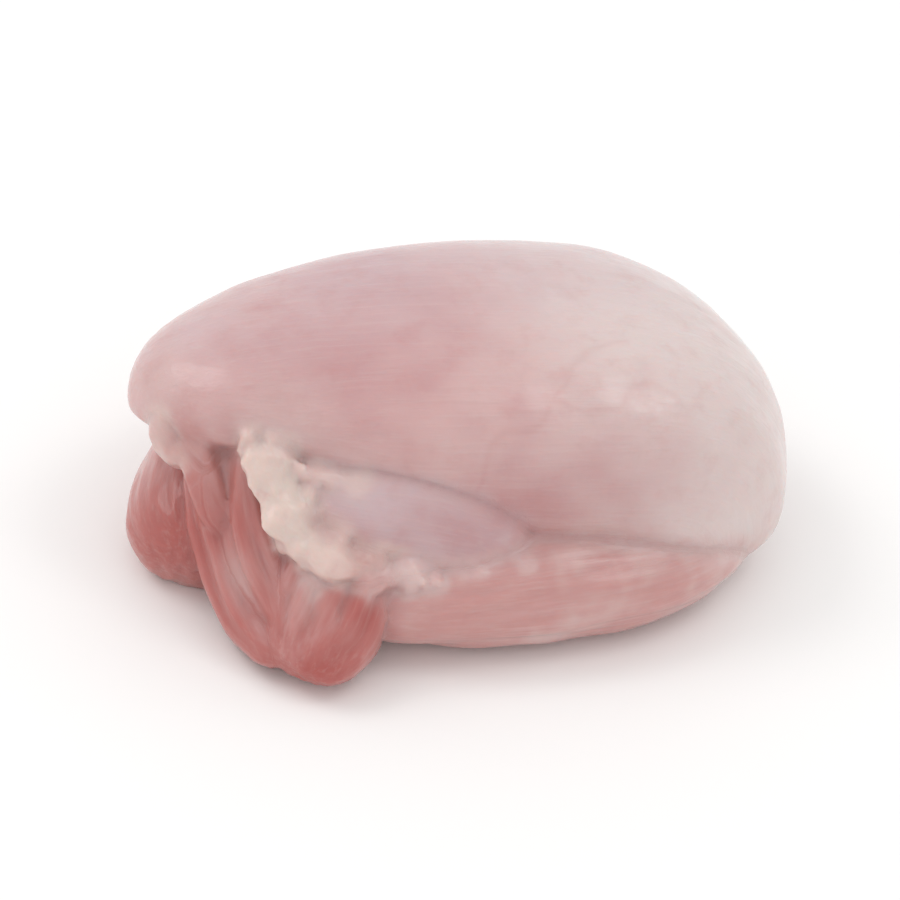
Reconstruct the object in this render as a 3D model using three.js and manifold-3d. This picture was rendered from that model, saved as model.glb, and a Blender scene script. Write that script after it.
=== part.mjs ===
// A raw skinned and boned chicken thigh, folded so that its smooth outer muscle is on top.
// Millimetres, +Z up. X runs along the thigh from its open end to its closed end, and the flat
// spots of its underside lie on Z = 0, with the origin at the middle of the underside.
import * as THREE from "three";
import { mergeVertices } from "three/addons/utils/BufferGeometryUtils.js";
import Module from "manifold-3d";

const wasm = await Module();
wasm.setup();

// Driving dimensions
const LENGTH = 90;
const DEPTH = 60;
const HEIGHT = 37;

// A place in the thigh, in percent of its length, depth and height from the origin
const at = (x, y, z) =>
  new THREE.Vector3((x * LENGTH) / 100, (y * DEPTH) / 100, (z * HEIGHT) / 100);

// The outer muscle is a thick blanket of meat, given by its crown and by its hem, which rises at
// the open end. The lip is how far the blanket reaches below its widest line: it is thin at the
// open end and goes down to the ground at the closed end, where the thigh is folded.
const CROWN = at(-2, 8, 0);
const HEM = new THREE.CatmullRomCurve3(
  [
    at(-48, 18, 66),
    at(-44, 3, 72),
    at(-36, -6, 74),
    at(-20, -19, 70),
    at(-6, -28, 57),
    at(9, -35, 43),
    at(27, -40, 35),
    at(42, -33, 32),
    at(49, -11, 34),
    at(48, 12, 35),
    at(39, 31, 36),
    at(19, 43, 34),
    at(-7, 48, 36),
    at(-31, 44, 46),
    at(-44, 31, 59),
  ],
  true,
);
const OPEN_LIP = 0.15 * HEIGHT;
const CLOSED_LIP = 0.38 * HEIGHT;
const CLOSED_END_DROP = 6;

// Exponents of the blanket's rounding: under 1 is fuller than an ellipse
const SHOULDER = 0.64;
const CROWN_ROUND = 0.74;
const CORE_ROUND = 0.4;
const LOBE_ROUND = 0.6;

// The meat inside: its share of the hem's reach, and its middle and half height
const CORE_REACH = 0.84;
const CORE_MIDDLE = 0.4 * HEIGHT;
const CORE_RISE = 0.26 * HEIGHT;

// How much a lumpy lobe swells and shrinks along its length
const SWELL = 0.22;

// Muscle lobes: the spine of each, and its greatest half width and half height
const innerMuscle = {
  spine: [at(-31, -5, 49), at(-20, -13, 46), at(-9, -19, 41), at(4, -26, 32)],
  width: 0.25 * HEIGHT,
  height: 0.25 * HEIGHT,
};
const outerStrap = {
  spine: [at(-36, 9, 80), at(-38, 4, 48), at(-38, -5, 27), at(-38, -18, 15), at(-37, -33, 8)],
  width: 0.11 * HEIGHT,
  height: 0.11 * HEIGHT,
};
const innerStrap = {
  spine: [at(-33, 1, 82), at(-34, -6, 50), at(-34, -15, 30), at(-33, -26, 17), at(-33, -38, 9)],
  width: 0.13 * HEIGHT,
  height: 0.12 * HEIGHT,
};
const tongue = {
  spine: [at(-26, -15, 43), at(-27, -24, 29), at(-30, -31, 17), at(-35, -38, 9)],
  width: 0.21 * HEIGHT,
  height: 0.14 * HEIGHT,
};
const frontFlap = {
  spine: [at(-29, -15, 19), at(-4, -21, 22), at(20, -23, 22), at(41, -13, 19)],
  width: 0.39 * HEIGHT,
  height: 0.23 * HEIGHT,
};
const backFlap = {
  spine: [
    at(-40, -4, 12),
    at(-37, 7, 17),
    at(-28, 18, 23),
    at(-8, 26, 24),
    at(16, 24, 22),
    at(40, 16, 22),
  ],
  width: 0.36 * HEIGHT,
  height: 0.27 * HEIGHT,
};
const foldBed = {
  spine: [at(-33, 2, 24), at(0, 2, 26), at(36, 0, 24)],
  width: 0.24 * HEIGHT,
  height: 0.16 * HEIGHT,
};

// Fat: a knob under the blanket's lip, and a lumpy seam round the inner muscle
const fatKnob = {
  spine: [at(-44, 11, 73), at(-44, 8, 63), at(-42, 4, 53)],
  width: 0.08 * HEIGHT,
  height: 0.08 * HEIGHT,
  sides: 12,
  rows: 8,
};
const fatSeam = {
  spine: [
    at(-34, -7, 75),
    at(-33, -13, 66),
    at(-32, -17, 56),
    at(-30, -22, 48),
    at(-26, -26, 43),
    at(-20, -28, 42),
  ],
  width: 0.12 * HEIGHT,
  height: 0.06 * HEIGHT,
  lumps: 3,
  sides: 10,
  rows: 24,
};

const lobes = [
  innerMuscle,
  outerStrap,
  innerStrap,
  tongue,
  frontFlap,
  backFlap,
  foldBed,
  fatKnob,
  fatSeam,
];

// Closed mesh of a three.js geometry as a solid
function solidOf(geometry) {
  geometry.deleteAttribute("normal");
  geometry.deleteAttribute("uv");
  const merged = mergeVertices(geometry, 1e-4);
  return new wasm.Manifold(
    new wasm.Mesh({
      numProp: 3,
      vertProperties: new Float32Array(merged.attributes.position.array),
      triVerts: new Uint32Array(merged.index.array),
    }),
  );
}

// Moves each vertex of a unit sphere to shape(around, down): around runs 0 to 1 about the sphere's
// axis and down 0 to 1 from its top pole to its bottom one.
function shapedSphere(sides, rows, shape) {
  const geometry = new THREE.SphereGeometry(1, sides, rows);
  const { position, uv } = geometry.attributes;
  for (let i = 0; i < position.count; i += 1) {
    const row = Math.round((1 - uv.getY(i)) * rows) / rows;
    const pole = row === 0 || row === 1;
    const point = shape(pole ? 0 : ((i % (sides + 1)) % sides) / sides, row);
    position.setXYZ(i, point.x, point.y, point.z);
  }
  return solidOf(geometry);
}

// A place between the crown and the hem, at the height z
function betweenCrownAndHem(edge, reach, z) {
  const x = THREE.MathUtils.lerp(CROWN.x, edge.x, reach);
  const y = THREE.MathUtils.lerp(CROWN.y, edge.y, reach);
  return new THREE.Vector3(x, y, z(x));
}

// Height of the blanket's crown line, lower towards the closed end
const crownLine = (x) => HEIGHT * (1 - CLOSED_END_DROP * Math.max(0, x / LENGTH) ** 5);

// How far the blanket reaches below its widest line
function lip(x) {
  const closed = THREE.MathUtils.smoothstep(x, 0, 0.42 * LENGTH);
  return THREE.MathUtils.lerp(OPEN_LIP, CLOSED_LIP, closed);
}

// The blanket, from its crown down over the shoulder to the hem, and back in under its lip
function outerMuscle() {
  return shapedSphere(88, 34, (around, down) => {
    const edge = HEM.getPoint(around);
    const reach = Math.sin(down * Math.PI) ** SHOULDER;
    const lift = Math.cos(down * Math.PI);
    const drop = Math.abs(lift) ** CROWN_ROUND;
    return betweenCrownAndHem(edge, reach, (x) =>
      lift > 0 ? edge.z + (crownLine(x) - edge.z) * drop : edge.z - lip(x) * drop,
    );
  });
}

// The meat inside the blanket, drawn in from its hem
function core() {
  return shapedSphere(36, 12, (around, down) => {
    const reach = CORE_REACH * Math.sin(down * Math.PI) ** CORE_ROUND;
    const z = CORE_MIDDLE + CORE_RISE * Math.cos(down * Math.PI);
    return betweenCrownAndHem(HEM.getPoint(around), reach, () => z);
  });
}

// A lobe: a sphere drawn out along its spine, flattened across it and tapered to its ends
function lobe({ spine, width, height, lumps = 0, sides = 20, rows = 18 }) {
  const curve = new THREE.CatmullRomCurve3(spine);
  const up = new THREE.Vector3(0, 0, 1);
  return shapedSphere(sides, rows, (around, down) => {
    const share = (1 - Math.cos(down * Math.PI)) / 2;
    const centre = curve.getPoint(share);
    const along = curve.getTangent(share);
    const side = new THREE.Vector3().crossVectors(along, up).normalize();
    const rise = new THREE.Vector3().crossVectors(side, along);
    const swell = 1 + SWELL * Math.sin(share * lumps * 2 * Math.PI);
    const girth = Math.sin(down * Math.PI) ** LOBE_ROUND * swell;
    const angle = around * 2 * Math.PI;
    return centre
      .addScaledVector(side, -Math.cos(angle) * width * girth)
      .addScaledVector(rise, -Math.sin(angle) * height * girth);
  });
}

// Everything below the surface that the thigh lies on
function underground() {
  const block = new THREE.BoxGeometry(2 * LENGTH, 2 * DEPTH, HEIGHT);
  block.translate(0, 0, -HEIGHT / 2);
  return solidOf(block);
}

// The solid's mesh, drawn out to the driving dimensions and centred over the origin
function fitted(solid) {
  const { vertProperties, triVerts } = solid.getMesh();
  const geometry = new THREE.BufferGeometry();
  const position = new THREE.BufferAttribute(new Float32Array(vertProperties), 3);
  geometry.setAttribute("position", position);
  geometry.setIndex(new THREE.BufferAttribute(new Uint32Array(triVerts), 1));
  geometry.computeBoundingBox();
  const size = geometry.boundingBox.getSize(new THREE.Vector3());
  geometry.center();
  geometry.scale(LENGTH / size.x, DEPTH / size.y, HEIGHT / size.z);
  geometry.translate(0, 0, HEIGHT / 2);
  geometry.computeVertexNormals();
  return geometry;
}

let thigh = outerMuscle().add(core());
for (const piece of lobes) thigh = thigh.add(lobe(piece));

const meat = new THREE.MeshStandardMaterial({ color: 0xd0aaa8, roughness: 0.45, metalness: 0 });
const mesh = new THREE.Mesh(fitted(thigh.subtract(underground())), meat);
mesh.name = "chicken_thigh";
const group = new THREE.Group();
group.add(mesh);

export default group;
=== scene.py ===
"""Looks of a raw chicken thigh, skinned, boned and folded with its smooth outer muscle on top.

The thigh is one soft piece of meat. Its muscles, straps and fat are shaped one by one round the
same places as the solid's, joined into one skin, and then given the relief and the masks that its
material reads. Lengths are in metres, and MM turns millimetres into them.
"""

import logging
import math
import random
from collections.abc import Callable, Iterable
from dataclasses import dataclass, field
from enum import Enum
from typing import Protocol

import bmesh
import bpy
import numpy as np
from mathutils import Matrix, Vector, noise
from mathutils.bvhtree import BVHTree
from mathutils.interpolate import poly_3d_calc


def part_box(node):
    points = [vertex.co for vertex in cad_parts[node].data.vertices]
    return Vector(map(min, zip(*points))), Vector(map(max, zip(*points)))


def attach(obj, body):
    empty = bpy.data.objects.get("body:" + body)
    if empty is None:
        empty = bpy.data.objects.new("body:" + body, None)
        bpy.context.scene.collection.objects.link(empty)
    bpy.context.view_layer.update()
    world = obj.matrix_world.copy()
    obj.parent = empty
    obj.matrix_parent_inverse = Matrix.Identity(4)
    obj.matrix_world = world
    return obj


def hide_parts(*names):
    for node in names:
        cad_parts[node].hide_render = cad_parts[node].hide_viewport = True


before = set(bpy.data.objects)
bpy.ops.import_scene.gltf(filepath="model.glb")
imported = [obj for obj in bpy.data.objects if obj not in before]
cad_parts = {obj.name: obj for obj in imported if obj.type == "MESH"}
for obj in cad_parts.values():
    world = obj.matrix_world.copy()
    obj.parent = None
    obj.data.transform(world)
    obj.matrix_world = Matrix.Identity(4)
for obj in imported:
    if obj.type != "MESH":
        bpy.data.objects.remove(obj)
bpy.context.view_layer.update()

log = logging.getLogger("thigh")

BMesh = bmesh.types.BMesh
Socket = bpy.types.NodeSocket
Triple = tuple[float, float, float]
Colour = tuple[float, float, float, float]
Vertex = tuple[Vector, Vector]

MM = 0.001
NODE = "chicken_thigh"
BODY = "root"
LOW, HIGH = (Vector(corner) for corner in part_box(NODE))
SIZE = HIGH - LOW
GRAIN = "grain"


class Tissue(Enum):
    """What a stretch of the thigh's surface is made of."""

    OUTER = "outer"
    INNER = "inner"
    STRAP = "strap"
    RED = "red"
    FLAP = "flap"
    FAT = "fat"
    WEB = "web"


def at(x: float, y: float, z: float) -> Vector:
    """Finds a place in the thigh.

    Args:
        x: Percent of the length from the middle, towards the closed end.
        y: Percent of the depth from the middle, towards the back.
        z: Percent of the height from the underside.

    Returns:
        The place, in metres.
    """
    return Vector((x * SIZE.x, y * SIZE.y, z * SIZE.z)) / 100


@dataclass(frozen=True)
class Spine:
    """A smooth curve through a few places.

    Attributes:
        places: What it goes through.
        closed: Whether its end joins its start.
    """

    places: tuple[Vector, ...]
    closed: bool = False

    STEP = 1e-4

    def _around(self, index: int) -> tuple[Vector, Vector, Vector, Vector]:
        """Gives the places that shape one stretch.

        Args:
            index: The stretch, counted from the start.

        Returns:
            The place before it, its two ends and the place after it.
        """
        count = len(self.places)
        if self.closed:
            return tuple(self.places[(index + step) % count] for step in (-1, 0, 1, 2))
        first, last = self.places[index], self.places[index + 1]
        before = self.places[index - 1] if index > 0 else 2 * first - last
        after = self.places[index + 2] if index + 2 < count else 2 * last - first
        return before, first, last, after

    def point(self, share: float) -> Vector:
        """Finds a point of the curve, which is a centripetal Catmull-Rom one.

        Args:
            share: How far along it is, from 0 to 1.

        Returns:
            The point.
        """
        stretches = len(self.places) - (0 if self.closed else 1)
        index = min(int(share * stretches), stretches - 1)
        t = share * stretches - index
        before, first, last, after = self._around(index)
        d0, d1, d2 = (
            math.sqrt((b - a).length) for a, b in ((before, first), (first, last), (last, after))
        )
        leave = d1 * ((first - before) / d0 - (last - before) / (d0 + d1) + (last - first) / d1)
        arrive = d1 * ((last - first) / d1 - (after - first) / (d1 + d2) + (after - last) / d2)
        curve = 3 * (last - first) - 2 * leave - arrive
        bend = 2 * (first - last) + leave + arrive
        return first + leave * t + curve * t**2 + bend * t**3

    def direction(self, share: float) -> Vector:
        """Finds the curve's unit direction at a share of its way."""
        ahead = self.point(min(share + self.STEP, 1.0))
        return (ahead - self.point(max(share - self.STEP, 0.0))).normalized()

    def moved(self, along_x: float) -> "Spine":
        """Gives the same curve, moved along the thigh."""
        return Spine(tuple(place + Vector((along_x, 0, 0)) for place in self.places), self.closed)

    def frame(self, share: float) -> tuple[Vector, Vector, Vector]:
        """Finds where the curve is and which way it faces.

        Args:
            share: How far along it is, from 0 to 1.

        Returns:
            Its point, its sideways direction and its upward one.
        """
        along = self.direction(share)
        side = along.cross(Vector((0, 0, 1))).normalized()
        return self.point(share), side, side.cross(along)


class Piece(Protocol):
    """Anything that can add its mesh to a larger one."""

    def add_to(self, bm: BMesh) -> None:
        """Adds its mesh to a larger one."""


Pieces = dict[Tissue, list[Piece]]


def grain_layer(bm: BMesh) -> bmesh.types.BMLayerItem:
    """Finds the layer that keeps the vertices' grain, or makes it."""
    layers = bm.verts.layers.float_vector
    return layers.get(GRAIN) or layers.new(GRAIN)


def shaped_sphere(
    bm: BMesh, sides: int, rows: int, shape: Callable[[float, float], Vertex]
) -> None:
    """Adds a sphere drawn out to a shape.

    Args:
        bm: What it is added to.
        sides: How many sides it has round its axis.
        rows: How many rows it has from pole to pole.
        shape: Gives a vertex's place and grain from its share of the way round and down.
    """
    grain = grain_layer(bm)
    made = bmesh.ops.create_uvsphere(bm, u_segments=sides, v_segments=rows, radius=1.0)
    for vert in made["verts"]:
        down = math.acos(max(-1.0, min(1.0, vert.co.z))) / math.pi
        around = math.atan2(vert.co.y, vert.co.x) / (2 * math.pi) % 1.0
        vert.co, vert[grain] = shape(around, down)


@dataclass(frozen=True)
class Lobe:
    """A muscle lobe: drawn out along its spine, flattened across it and tapered to its ends.

    Attributes:
        spine: Its middle line.
        width: Its greatest half width, level with the ground.
        height: Its greatest half height.
        lumps: How often it swells and shrinks on its way.
        sides: How many sides its mesh has.
        rows: How many rows its mesh has.
    """

    spine: Spine
    width: float
    height: float
    lumps: int = 0
    sides: int = 40
    rows: int = 48

    # How much a lumpy lobe swells, and the exponent of its ends: under 1 is fuller than an ellipse
    SWELL = 0.22
    ROUND = 0.6

    def girth(self, down: float, share: float) -> float:
        """Gives the share of its full thickness that the lobe has."""
        swell = 1 + self.SWELL * math.sin(share * self.lumps * 2 * math.pi)
        return max(math.sin(down * math.pi), 0.0) ** self.ROUND * swell

    def vertex(self, around: float, down: float) -> Vertex:
        """Places a vertex of the lobe's mesh.

        Args:
            around: Share of the way round its spine.
            down: Share of the way from its start to its end.

        Returns:
            The vertex's place, and its grain across and along the lobe.
        """
        length = (self.spine.places[-1] - self.spine.places[0]).length
        share = (1 - math.cos(down * math.pi)) / 2
        centre, side, rise = self.spine.frame(share)
        angle = around * 2 * math.pi
        girth = self.girth(down, share)
        wide = math.cos(angle) * self.width * girth
        high = math.sin(angle) * self.height * girth
        return centre + side * wide + rise * high, Vector((wide, high, share * length))

    def add_to(self, bm: BMesh) -> None:
        """Adds the lobe's mesh to a larger one."""
        shaped_sphere(bm, self.sides, self.rows, self.vertex)


@dataclass(frozen=True)
class Bundle:
    """Fascicles that lie side by side round a lobe.

    Attributes:
        lobe: The lobe that they cover.
        strands: How many there are.
        thickness: The half width of each.
        seed: Seed of their wander.
        sunk: How deep they lie in the lobe, as a share of their half width.
    """

    lobe: Lobe
    strands: int
    thickness: float
    seed: int
    sunk: float = 0.55

    # Places along a strand, the share of the lobe that it leaves bare at each end, how far it
    # strays to its neighbours, in strands, and turns, in radians, and its share of the half width
    STEPS = 7
    BARE_END = 0.03
    STRAY = 0.3
    TWIST = 0.16
    THICKNESSES = (0.75, 1.15)

    def strand(self, angle: float, draw: random.Random) -> Lobe:
        """Makes one strand.

        Args:
            angle: Where it lies round the lobe.
            draw: What draws its wander and its thickness.

        Returns:
            The strand.
        """
        places = []
        for step in range(self.STEPS):
            share = self.BARE_END + (1 - 2 * self.BARE_END) * step / (self.STEPS - 1)
            down = math.acos(1 - 2 * share) / math.pi
            centre, side, rise = self.lobe.spine.frame(share)
            turn = angle + draw.uniform(-self.TWIST, self.TWIST)
            reach = self.lobe.girth(down, share)
            sideways = math.cos(turn) * (self.lobe.width * reach - self.sunk * self.thickness)
            upward = math.sin(turn) * (self.lobe.height * reach - self.sunk * self.thickness)
            places.append(centre + side * sideways + rise * upward)
        size = self.thickness * draw.uniform(*self.THICKNESSES)
        return Lobe(Spine(tuple(places)), size, size, sides=16, rows=32)

    def add_to(self, bm: BMesh) -> None:
        """Adds the strands' meshes to a larger one.

        Args:
            bm: The larger mesh.
        """
        draw = random.Random(self.seed)
        for number in range(self.strands):
            stray = draw.uniform(-self.STRAY, self.STRAY)
            self.strand(2 * math.pi * (number + stray) / self.strands, draw).add_to(bm)


@dataclass(frozen=True)
class Lobules:
    """Small lumps of fat strung along a curve.

    Attributes:
        spine: The curve.
        count: How many there are.
        smallest: The least half width of a lump.
        largest: The greatest half width of a lump.
        scatter: How far a lump may lie off the curve.
        seed: Seed of their sizes and places.
    """

    spine: Spine
    count: int
    smallest: float
    largest: float
    scatter: float
    seed: int

    # How far a lump strays along the curve, in lumps, and how it is squashed and drawn out
    STRAY = 0.4
    SQUASH = (0.75, 1.3)

    def add_to(self, bm: BMesh) -> None:
        """Adds the lumps' meshes to a larger one.

        Args:
            bm: The larger mesh.
        """
        draw = random.Random(self.seed)
        grain = grain_layer(bm)
        for lump in range(self.count):
            stray = draw.uniform(-self.STRAY, self.STRAY)
            share = min(max((lump + stray) / (self.count - 1), 0.0), 1.0)
            off = Vector(draw.uniform(-1, 1) for _ in range(3)) * self.scatter
            size = draw.uniform(self.smallest, self.largest)
            squash = [size * draw.uniform(*self.SQUASH) for _ in range(3)]
            turn = Matrix.Rotation(draw.uniform(0, math.pi), 4, Vector((1, 1, 1)))
            matrix = Matrix.Translation(self.spine.point(share) + off) @ turn
            made = bmesh.ops.create_icosphere(
                bm, subdivisions=2, radius=1.0, matrix=matrix @ Matrix.Diagonal((*squash, 1.0))
            )
            for vert in made["verts"]:
                vert[grain] = vert.co


@dataclass(frozen=True)
class Threads:
    """Thin threads of tissue stretched from one curve to another.

    Attributes:
        start: The curve that they leave.
        end: The curve that they reach.
        count: How many there are.
        thickness: The half width of each.
        seed: Seed of their places.
    """

    start: Spine
    end: Spine
    count: int
    thickness: float
    seed: int

    # Where in its own stretch a thread leaves, how far along it slants, how far its middle is
    # off its line, and its share of the half width
    LEAVES = (0.1, 0.9)
    SLANT = 0.12
    SAG = 0.6 * MM
    THICKNESSES = (0.7, 1.3)

    def add_to(self, bm: BMesh) -> None:
        """Adds the threads' meshes to a larger one.

        Args:
            bm: The larger mesh.
        """
        draw = random.Random(self.seed)
        for thread in range(self.count):
            share = (thread + draw.uniform(*self.LEAVES)) / self.count
            slant = draw.uniform(-self.SLANT, self.SLANT)
            first = self.start.point(share)
            last = self.end.point(min(max(share + slant, 0.0), 1.0))
            sag = Vector(draw.uniform(-1, 1) for _ in range(3)) * self.SAG
            size = self.thickness * draw.uniform(*self.THICKNESSES)
            spine = Spine((first, (first + last) / 2 + sag, last))
            Lobe(spine, size, size, sides=8, rows=12).add_to(bm)


@dataclass(frozen=True)
class Blanket:
    """The outer muscle: a thick blanket of meat with a rolled lip at its hem.

    Attributes:
        crown: The place that it falls away from on all sides.
        hem: Its widest line.
        open_lip: How far it reaches below the hem at its open end.
        closed_lip: How far it reaches below the hem at its closed end, where it is folded.
        end_drop: How much lower its crown line runs towards the closed end.
        shoulder: Exponent of its rounding sideways.
        crown_round: Exponent of its rounding upwards.
    """

    crown: Vector
    hem: Spine
    open_lip: float
    closed_lip: float
    end_drop: float = 6.0
    shoulder: float = 0.64
    crown_round: float = 0.74

    # The middle of the fold at the closed end and its radius, and how its fibres slant on top
    FOLD_START = 24 * MM
    FOLD_HEIGHT = 10 * MM
    FOLD_RADIUS = 20 * MM
    FIBRE_SLANT = math.radians(14)

    # The share of the length over which the lip grows, and how steeply the crown line drops
    LIP_GROWTH = 0.42
    STEEPNESS = 5

    def between(self, edge: Vector, reach: float) -> Vector:
        """Finds the place over the line from the crown to the hem, level with the ground."""
        return self.crown.lerp(edge, reach).to_2d()

    def lip(self, x: float) -> float:
        """Gives how far it reaches below the hem at a place along the thigh."""
        share = min(max(x / (self.LIP_GROWTH * SIZE.x), 0.0), 1.0)
        return self.open_lip + (self.closed_lip - self.open_lip) * share**2 * (3 - 2 * share)

    def grain(self, place: Vector) -> Vector:
        """Finds the grain at a place: the fibres run lengthwise and down over the fold.

        Args:
            place: The place.

        Returns:
            The place across the fibres, twice, and along them.
        """
        turned = Matrix.Rotation(self.FIBRE_SLANT, 3, "Z") @ place
        past, over = turned.x - self.FOLD_START, turned.z - self.FOLD_HEIGHT
        if past < 0:
            return Vector((turned.y, over, turned.x))
        bend = math.atan2(past, over) * self.FOLD_RADIUS
        return Vector((turned.y, math.hypot(past, over), self.FOLD_START + bend))

    def spot(self, around: float, down: float) -> Vector:
        """Finds a place on its surface.

        Args:
            around: Share of the way round its hem.
            down: Share of the way from its crown down and back in under its lip.

        Returns:
            The place.
        """
        edge = self.hem.point(around)
        x, y = self.between(edge, max(math.sin(down * math.pi), 0.0) ** self.shoulder)
        lift = math.cos(down * math.pi)
        drop = abs(lift) ** self.crown_round
        top = SIZE.z * (1 - self.end_drop * max(0.0, x / SIZE.x) ** self.STEEPNESS)
        return Vector((x, y, edge.z + ((top - edge.z) if lift > 0 else -self.lip(x)) * drop))

    def vertex(self, around: float, down: float) -> Vertex:
        """Places a vertex of the blanket's mesh, with its grain."""
        spot = self.spot(around, down)
        return spot, self.grain(spot)

    def add_to(self, bm: BMesh) -> None:
        """Adds the blanket's mesh to a larger one."""
        shaped_sphere(bm, sides=180, rows=90, shape=self.vertex)


@dataclass(frozen=True)
class Core:
    """The meat inside the blanket, drawn in from its hem.

    Attributes:
        blanket: The blanket round it.
        reach: Its share of the hem's reach.
        middle: The height of its middle.
        rise: Its half height.
    """

    blanket: Blanket
    reach: float
    middle: float
    rise: float

    # The exponent of its rounding, and how much its height counts in its grain
    ROUND = 0.4
    GRAIN_RISE = 0.3

    def vertex(self, around: float, down: float) -> Vertex:
        """Places a vertex of the core's mesh.

        Args:
            around: Share of the way round the hem.
            down: Share of the way from its top to its underside.

        Returns:
            The vertex's place and its grain.
        """
        reach = self.reach * max(math.sin(down * math.pi), 0.0) ** self.ROUND
        x, y = self.blanket.between(self.blanket.hem.point(around), reach)
        z = self.middle + self.rise * math.cos(down * math.pi)
        return Vector((x, y, z)), Vector((x, y, self.GRAIN_RISE * z))

    def add_to(self, bm: BMesh) -> None:
        """Adds the core's mesh to a larger one."""
        shaped_sphere(bm, sides=72, rows=24, shape=self.vertex)


HEM = Spine(
    (
        at(-48, 18, 66), at(-44, 3, 72), at(-36, -6, 74), at(-20, -19, 70), at(-6, -28, 57),
        at(9, -35, 43), at(27, -40, 35), at(42, -33, 32), at(49, -11, 34), at(48, 12, 35),
        at(39, 31, 36), at(19, 43, 34), at(-7, 48, 36), at(-31, 44, 46), at(-44, 31, 59),
    ),
    closed=True,
)


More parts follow.
